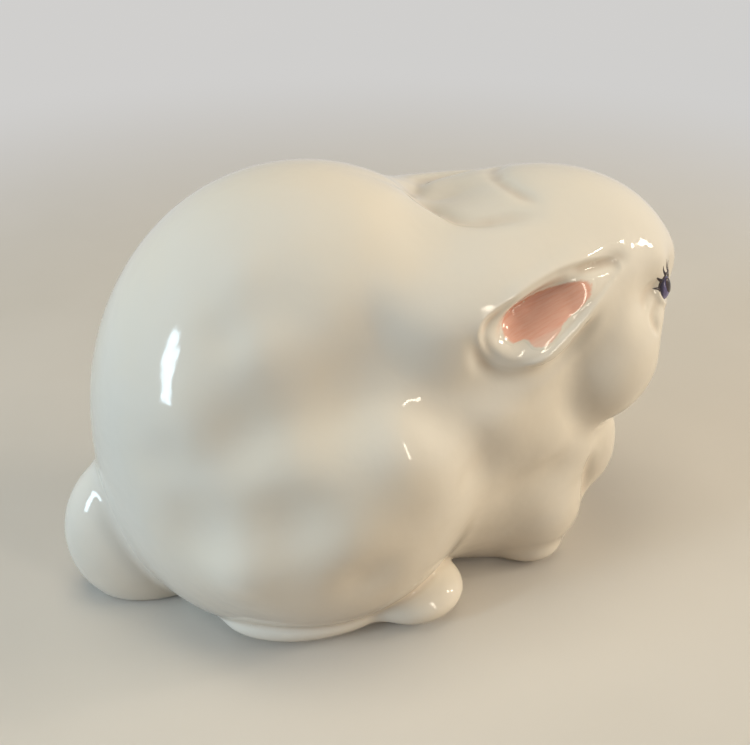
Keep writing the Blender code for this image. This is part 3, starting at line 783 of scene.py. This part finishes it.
class Shading:
    """A material under construction, with short calls for the nodes it is made of."""

    def __init__(self, name):
        self.material = bpy.data.materials.new(name)
        self.material.use_nodes = True
        self.nodes = self.material.node_tree.nodes
        self.surface = self.nodes["Principled BSDF"]

    def link(self, source, target):
        self.material.node_tree.links.new(source, target)

    def feed(self, socket, value):
        if isinstance(value, bpy.types.NodeSocket):
            self.link(value, socket)
        else:
            socket.default_value = value

    def mark(self, name):
        node = self.nodes.new("ShaderNodeAttribute")
        node.attribute_name = name
        return node.outputs["Fac"]

    def place(self):
        return self.nodes.new("ShaderNodeTexCoord").outputs["Object"]

    def noise(self, scale, detail=2.0, rough=0.5, vector=None):
        node = self.nodes.new("ShaderNodeTexNoise")
        node.inputs["Scale"].default_value = scale
        node.inputs["Detail"].default_value = detail
        node.inputs["Roughness"].default_value = rough
        self.link(vector or self.place(), node.inputs["Vector"])
        return node.outputs["Fac"]

    def cells(self, scale):
        node = self.nodes.new("ShaderNodeTexVoronoi")
        node.inputs["Scale"].default_value = scale
        self.link(self.place(), node.inputs["Vector"])
        return node.outputs["Distance"], node.outputs["Color"]

    def math(self, operation, first, second=0.0):
        node = self.nodes.new("ShaderNodeMath")
        node.operation = operation
        for socket, value in zip(node.inputs, (first, second)):
            self.feed(socket, value)
        return node.outputs[0]

    def ramp(self, value, low, high, out_low=0.0, out_high=1.0):
        node = self.nodes.new("ShaderNodeMapRange")
        node.interpolation_type = "SMOOTHSTEP"
        self.feed(node.inputs["Value"], value)
        names = ("From Min", "From Max", "To Min", "To Max")
        for name, number in zip(names, (low, high, out_low, out_high)):
            node.inputs[name].default_value = number
        return node.outputs["Result"]

    def mix(self, share, first, second):
        node = self.nodes.new("ShaderNodeMix")
        node.data_type = "RGBA"
        self.feed(node.inputs["Factor"], share)
        for socket, value in ((node.inputs[6], first), (node.inputs[7], second)):
            self.feed(socket, value if isinstance(value, bpy.types.NodeSocket) else (*value, 1.0))
        return node.outputs[2]

    def vector(self, across, along, scale):
        node = self.nodes.new("ShaderNodeCombineXYZ")
        self.feed(node.inputs["X"], self.math("MULTIPLY", across, scale[0]))
        self.feed(node.inputs["Y"], self.math("MULTIPLY", along, scale[1]))
        return node.outputs["Vector"]

    def bump(self, height, distance, strength=1.0, before=None):
        node = self.nodes.new("ShaderNodeBump")
        node.inputs["Distance"].default_value = distance
        node.inputs["Strength"].default_value = strength
        self.link(height, node.inputs["Height"])
        if before is not None:
            self.link(before, node.inputs["Normal"])
        return node.outputs["Normal"]

    def finish(self, colour, roughness, normal=None):
        self.feed(self.surface.inputs["Base Color"], colour)
        self.feed(self.surface.inputs["Roughness"], roughness)
        self.surface.inputs["IOR"].default_value = 1.5
        if normal is not None:
            self.link(normal, self.surface.inputs["Normal"])
        return self.material


# Colours of the glaze, the bare clay, the underglaze and the floor
GLAZE = (0.775, 0.730, 0.640)
GLAZE_COOL = (0.755, 0.728, 0.665)
# Pooled glaze colour, darkened beyond it as painted shade in the creases
GLAZE_POOLED_AND_SHADED = (0.560, 0.450, 0.340)
GLAZE_THIN = (0.800, 0.765, 0.695)
SPECK = (0.20, 0.14, 0.10)
BISQUE, BISQUE_PALE = (0.640, 0.560, 0.470), (0.70, 0.63, 0.54)
# The third pink is painted shade beneath the ear's brow
PINK, PINK_LOADED, PINK_SHADED_UNDER_BROW = (0.840, 0.470, 0.360), (0.800, 0.415, 0.310), (0.47, 0.19, 0.12)
NOSE_PINK, NOSE_PINK_LOADED = (0.66, 0.33, 0.25), (0.58, 0.26, 0.19)
VIOLET, VIOLET_THIN, VIOLET_LOW = (0.115, 0.095, 0.240), (0.200, 0.180, 0.370), (0.30, 0.29, 0.50)
IRIS_RING, EYE_LIGHT = (0.045, 0.035, 0.075), (0.80, 0.79, 0.77)
LINE, LINE_THIN, LINE_EDGE = (0.022, 0.014, 0.016), (0.060, 0.038, 0.040), (0.16, 0.10, 0.09)
FLOOR, FLOOR_PALE, FLOOR_BOUNCE = (0.660, 0.640, 0.605), (0.685, 0.664, 0.632), (0.44, 0.36, 0.28)

# How brightly the backdrop shows, and its tints
BACKDROP = 0.62
BACKDROP_TINT, BACKDROP_TINT_PALE = (1.0, 0.985, 0.965), (1.0, 0.99, 0.975)


def glaze_colour(shading):
    """White glaze: faint clouding, warmer and darker in the creases where it pools, partly pooled glaze and
    partly painted shade, paler where it thins, with rare specks.
    """
    cloud = shading.ramp(shading.noise(22.0, 3.0, 0.55), 0.38, 0.62)
    colour = shading.mix(cloud, GLAZE, GLAZE_COOL)
    uneven = shading.ramp(shading.noise(160.0, 2.0), 0.3, 0.7, 0.55, 1.0)
    # The creases take the pooled colour: partly pooled glaze, partly painted shade
    pool_and_shade = shading.math("MULTIPLY", shading.mark("pool_and_shade"), uneven)
    colour = shading.mix(shading.math("MULTIPLY", pool_and_shade, 0.65), colour, GLAZE_POOLED_AND_SHADED)
    colour = shading.mix(shading.math("MULTIPLY", shading.mark("ridge"), 0.6), colour, GLAZE_THIN)
    distance, chance = shading.cells(230.0)
    rare = shading.math("GREATER_THAN", chance, 0.982)
    speck = shading.math("MULTIPLY", shading.ramp(distance, 0.05, 0.09, 1.0, 0.0), rare)
    return shading.mix(shading.math("MULTIPLY", speck, 0.55), colour, SPECK)


def glaze_bump(shading):
    """The slow waviness of a poured glaze, its finer orange peel and a few pimples."""
    wave = shading.bump(shading.noise(110.0, 2.5, 0.5), 0.00032, 0.75)
    peel = shading.bump(shading.noise(620.0, 2.0, 0.5), 0.00001, 0.6, wave)
    distance, chance = shading.cells(150.0)
    rare = shading.math("GREATER_THAN", chance, 0.93)
    pimple = shading.math("MULTIPLY", shading.ramp(distance, 0.0, 0.13, 1.0, 0.0), rare)
    return shading.bump(pimple, 0.00012, 0.8, peel)


def glaze_material():
    """Glaze over the whole piece but for a ring of bare clay round its foot."""
    shading = Shading("white_glaze")
    place = shading.nodes.new("ShaderNodeSeparateXYZ")
    shading.link(shading.place(), place.inputs["Vector"])
    edge = shading.math("ADD", place.outputs["Z"], shading.math("MULTIPLY", shading.noise(240.0), 0.0009))
    bare = shading.ramp(edge, 0.00085, 0.00105, 1.0, 0.0)
    grain = shading.noise(1500.0, 4.0, 0.7)
    clay = shading.mix(shading.ramp(grain, 0.35, 0.65), BISQUE, BISQUE_PALE)
    colour = shading.mix(bare, glaze_colour(shading), clay)
    polish = shading.ramp(shading.noise(70.0, 3.0), 0.3, 0.7, 0.05, 0.10)
    rough = shading.math("MAXIMUM", polish, shading.math("MULTIPLY", bare, 0.75))
    normal = shading.bump(shading.math("MULTIPLY", grain, bare), 0.00012, 0.7, glaze_bump(shading))
    return shading.finish(colour, rough, normal)


def blush_material():
    """Pink brushed along the ear, ragged at the edge, streaked by bristles, and darkened beneath the brow as
    painted shade.
    """
    shading = Shading("pink_underglaze")
    share, along, across = shading.mark("share"), shading.mark("along"), shading.mark("across")
    bristle = shading.noise(1.0, 3.0, 0.6, shading.vector(along, across, (0.22, 2.4)))
    ragged = shading.noise(1.0, 4.0, 0.65, shading.vector(along, across, (0.8, 1.1)))
    edge = shading.math("ADD", share, shading.math("MULTIPLY", shading.math("SUBTRACT", ragged, 0.5), 0.16))
    inside = shading.ramp(edge, 0.93, 1.03, 1.0, 0.0)
    load = shading.ramp(bristle, 0.3, 0.72, 0.90, 1.0)
    second = shading.ramp(across, -3.3, -2.3, 0.70, 1.0)
    amount = shading.math("MULTIPLY", shading.math("MULTIPLY", inside, load), second)
    pink = shading.mix(shading.ramp(bristle, 0.35, 0.7), PINK, PINK_LOADED)
    # Painted shade: the pink darkens towards the brow that overhangs it
    brow_shade = shading.ramp(across, 2.2, 4.6, 0.0, 0.55)
    pink = shading.mix(brow_shade, pink, PINK_SHADED_UNDER_BROW)
    colour = shading.mix(amount, glaze_colour(shading), pink)
    return shading.finish(colour, shading.ramp(bristle, 0.3, 0.7, 0.07, 0.13), glaze_bump(shading))


def nose_material():
    """Pink dabbed on, thinning into the glaze at its edge."""
    shading = Shading("pink_nose")
    share, along, across = shading.mark("share"), shading.mark("along"), shading.mark("across")
    ragged = shading.noise(1.0, 3.0, 0.6, shading.vector(along, across, (1.1, 1.1)))
    edge = shading.math("ADD", share, shading.math("MULTIPLY", shading.math("SUBTRACT", ragged, 0.5), 0.2))
    inside = shading.ramp(edge, 0.86, 1.02, 1.0, 0.0)
    pink = shading.mix(shading.ramp(ragged, 0.3, 0.7), NOSE_PINK, NOSE_PINK_LOADED)
    colour = shading.mix(shading.math("MULTIPLY", inside, 0.9), glaze_colour(shading), pink)
    return shading.finish(colour, shading.ramp(ragged, 0.3, 0.7, 0.08, 0.13), glaze_bump(shading))


def iris_material():
    """Violet brushed up and down, paler low down, with a dark ring and a painted light."""
    shading = Shading("violet_underglaze")
    across, along, share = shading.mark("across"), shading.mark("along"), shading.mark("share")
    brushed = shading.noise(1.0, 3.0, 0.6, shading.vector(across, along, (3.0, 0.7)))
    violet = shading.mix(shading.ramp(brushed, 0.3, 0.7), VIOLET, VIOLET_THIN)
    low = shading.ramp(along, -2.3, 0.4, 1.0, 0.0)
    violet = shading.mix(shading.math("MULTIPLY", low, 0.5), violet, VIOLET_LOW)
    ring = shading.ramp(share, 0.80, 0.94)
    colour = shading.mix(ring, violet, IRIS_RING)
    squares = [
        shading.math("POWER", shading.math("SUBTRACT", mark, place), 2.0)
        for mark, place in ((across, -0.95), (along, 1.55))
    ]
    away = shading.math("SQRT", shading.math("ADD", *squares))
    light = shading.ramp(away, 0.40, 0.55, 1.0, 0.0)
    colour = shading.mix(light, colour, EYE_LIGHT)
    return shading.finish(colour, shading.ramp(brushed, 0.3, 0.7, 0.05, 0.11), glaze_bump(shading))


def line_material():
    """Near-black strokes, browner where they thin at the edge."""
    shading = Shading("dark_underglaze")
    streak = shading.noise(1400.0, 3.0, 0.6)
    colour = shading.mix(shading.ramp(streak, 0.35, 0.7), LINE, LINE_THIN)
    colour = shading.mix(shading.ramp(shading.mark("share"), 0.75, 1.0, 0.0, 0.35), colour, LINE_EDGE)
    return shading.finish(colour, shading.ramp(streak, 0.3, 0.7, 0.08, 0.20))


def seen_share(nodes, links):
    """One for rays that show the background: seen straight, mirrored or through glass."""
    path = nodes.new("ShaderNodeLightPath")
    share = path.outputs["Is Camera Ray"]
    for name in ("Is Glossy Ray", "Is Transmission Ray"):
        node = nodes.new("ShaderNodeMath")
        node.operation = "MAXIMUM"
        links.new(share, node.inputs[0])
        links.new(path.outputs[name], node.inputs[1])
        share = node.outputs[0]
    return share


def floor_material():
    """A pale floor that throws little light back onto the object and fades into the backdrop far from it."""
    shading = Shading("studio_floor")
    mottle = shading.noise(9.0, 4.0, 0.6)
    pale = shading.mix(shading.ramp(mottle, 0.3, 0.7), FLOOR, FLOOR_PALE)
    seen = seen_share(shading.nodes, shading.material.node_tree.links)
    colour = shading.mix(seen, FLOOR_BOUNCE, pale)
    away = shading.nodes.new("ShaderNodeVectorMath")
    away.operation = "LENGTH"
    shading.link(shading.place(), away.inputs[0])
    far = shading.ramp(away.outputs["Value"], 0.16, 0.42)
    glow = shading.math("MULTIPLY", shading.math("MULTIPLY", far, seen), BACKDROP)
    shading.link(glow, shading.surface.inputs["Emission Strength"])
    tint = shading.mix(mottle, BACKDROP_TINT, BACKDROP_TINT_PALE)
    shading.link(tint, shading.surface.inputs["Emission Color"])
    rough = shading.ramp(mottle, 0.3, 0.7, 0.85, 0.95)
    shading.surface.inputs["Specular IOR Level"].default_value = 0.1
    return shading.finish(shading.mix(far, colour, (0.0, 0.0, 0.0)), rough)


def hand_over(thing, node, slot, material):
    """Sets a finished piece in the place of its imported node."""
    thing.name = thing.data.name = node + "_" + slot
    if not thing.data.materials:
        thing.data.materials.append(material)
    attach(thing, "root")
    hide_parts(node)


def hand_over_pair(left, stem, slot, material, finish=None):
    """Hands over a piece of the left side and its mirror image, each finished first where it needs to be."""
    right = mirrored(left, stem)
    for thing, side in ((left, "_left"), (right, "_right")):
        if finish is not None:
            finish(thing.data)
        hand_over(thing, stem + side, slot, material)


# Clay pieces by name, form, a place inside each and the length of its mesh's edges
SINGLE_PIECES = (
    ("body_shell", "body", TRUNK[0], 0.85 * COARSER),
    ("head_shell", "head", SKULL[0], 0.55 * COARSER),
    ("tail", "tail", TAIL[0], 0.6 * COARSER),
    ("chest_ruff", "ruff", MIDDLE_TUFT[0], 0.55 * COARSER),
)
DOUBLE_PIECES = (
    ("ear", "ear", tuple((np.array(EAR_BACK[0]) + EAR_MOUTH) / 2), 0.45),
    ("hind_foot", "foot", tuple((np.array(HEEL[0]) + np.array(TOES[0])) / 2), 0.5),
    ("fore_paw", "paw", PAW[0], 0.5),
)


def build_rabbit():
    glaze = glaze_material()
    for name, key, centre, voxel in SINGLE_PIECES:
        thing = skin(name, key, centre, voxel)
        if key == "body":
            bored(thing)
        glaze_marks(thing.data)
        hand_over(thing, name, "glaze", glaze)
    for stem, key, centre, voxel in DOUBLE_PIECES:
        hand_over_pair(skin(stem, key, centre, voxel), stem, "glaze", glaze, glaze_marks)


def build_paint():
    blush, violet, line = blush_material(), iris_material(), line_material()
    iris = eye_layer("eye_left", (2.46, 3.1), (0, 0), 0.0, 0.3)
    pupil = eye_layer("pupil_left", (1.2, 1.65), (0.35, 0.85), 0.07, 0.12)
    painted = (
        (blush_layer(), "ear_lining", "pink", blush),
        (iris, "eye", "violet", violet),
        (pupil, "pupil", "dark", line),
        (lash_piece(), "lashes", "dark", line),
    )
    for left, stem, slot, material in painted:
        hand_over_pair(left, stem, slot, material)
    hand_over(nose_layer(), "nose", "pink", nose_material())


# Colours of the lamps
COOL, SKY = (0.66, 0.86, 1.0), (0.72, 0.89, 1.0)
WARM, CREAM, AMBER = (1.0, 0.88, 0.72), (1.0, 0.88, 0.67), (1.0, 0.85, 0.64)

# Lamps: the place on the figurine that each is aimed at, its direction from there, its distance and size in
# metres, its power, its colour and whether the glaze mirrors it
LAMPS = (
    ("overhead", (0, 0, 50), (0.0, 0.05, 1.0), 0.9, (0.5, 0.5), 3.6, CREAM, False),
    ("rear_soft", (0, 0, 50), (-0.06, 0.95, 0.30), 0.9, (0.45, 0.45), 2.5, SKY, False),
    ("front_soft", (0, 0, 50), (-0.22, -0.93, 0.22), 0.9, (0.45, 0.45), 5.0, AMBER, False),
    ("pane_left", (-20.0, 48.9, 69.2), (-0.239, 0.967, 0.091), 0.75, (0.12, 0.42), 1.2, COOL, True),
    ("pane_right", (-25.2, 45.8, 69.2), (-0.239, 0.967, 0.091), 0.75, (0.12, 0.42), 1.2, COOL, True),
    ("haunch_strip", (-39.8, 4.8, 54.0), (-0.80, -0.52, 0.37), 0.6, (0.040, 0.30), 0.6, WARM, True),
    ("head_lamp", (-18.2, -47.9, 82.3), (-0.161, -0.878, 0.451), 0.8, (0.05, 0.05), 0.35, WARM, True),
    ("brow_lamp", (-16.1, -54.9, 80.3), (-0.081, -0.960, 0.267), 0.8, (0.05, 0.07), 0.4, WARM, True),
)
FLOOR_WIDTH = 6.0
WORLD_TINT, WORLD_LIGHT = (1.0, 0.99, 0.975, 1.0), 0.17


def area_light(name, aim, direction, distance, size, energy, colour, mirrored_in_glaze):
    """A flat lamp seen from a place on the figurine along a direction."""
    lamp = bpy.data.lights.new(name, "AREA")
    lamp.shape = "RECTANGLE"
    lamp.size, lamp.size_y = size
    lamp.energy = energy
    lamp.color = colour
    thing = bpy.data.objects.new(name, lamp)
    bpy.context.collection.objects.link(thing)
    direction = Vector(direction).normalized()
    thing.location = Vector(aim) * MM + direction * distance
    thing.rotation_euler = direction.to_track_quat("Z", "Y").to_euler()
    thing.visible_glossy = mirrored_in_glaze


def build_studio():
    """The floor, the lamps and a world that looks pale but gives little light."""
    bpy.ops.mesh.primitive_plane_add(size=FLOOR_WIDTH, location=(0, 0, 0))
    floor = bpy.context.object
    floor.name = "floor"
    floor.data.materials.append(floor_material())
    for lamp in LAMPS:
        area_light(*lamp)
    world = bpy.data.worlds.new("studio")
    bpy.context.scene.world = world
    world.use_nodes = True
    nodes, links = world.node_tree.nodes, world.node_tree.links
    background = nodes["Background"]
    background.inputs["Color"].default_value = WORLD_TINT
    lift = nodes.new("ShaderNodeMapRange")
    lift.inputs["To Min"].default_value = WORLD_LIGHT
    lift.inputs["To Max"].default_value = BACKDROP
    links.new(seen_share(nodes, links), lift.inputs["Value"])
    links.new(lift.outputs["Result"], background.inputs["Strength"])


# The camera: degrees round from the front and above, metres from the place that it looks at, and its focal
# length and shift in pixels of a picture this many pixels wide
AZIMUTH, ELEVATION, DISTANCE, LOOKED_AT = 254, 32, 0.240, (0, 0, 0.046)
FOCAL_PIXELS, SHIFT_PIXELS, PICTURE_WIDTH, SENSOR_WIDTH = 1050, 7.5, 750, 36.0


def build_camera():
    azimuth, elevation = math.radians(AZIMUTH), math.radians(ELEVATION)
    flat = math.cos(elevation)
    back = Vector((math.sin(azimuth) * flat, -math.cos(azimuth) * flat, math.sin(elevation)))
    lens = bpy.data.cameras.new("camera")
    lens.lens = SENSOR_WIDTH * FOCAL_PIXELS / PICTURE_WIDTH
    lens.sensor_width = SENSOR_WIDTH
    lens.shift_y = SHIFT_PIXELS / PICTURE_WIDTH
    lens.clip_start = 0.01
    camera = bpy.data.objects.new("camera", lens)
    bpy.context.collection.objects.link(camera)
    camera.location = Vector(LOOKED_AT) + back * DISTANCE
    camera.rotation_euler = back.to_track_quat("Z", "Y").to_euler()
    bpy.context.scene.camera = camera


build_rabbit()
build_paint()
build_studio()
build_camera()
bpy.context.scene.view_settings.view_transform = "Standard"
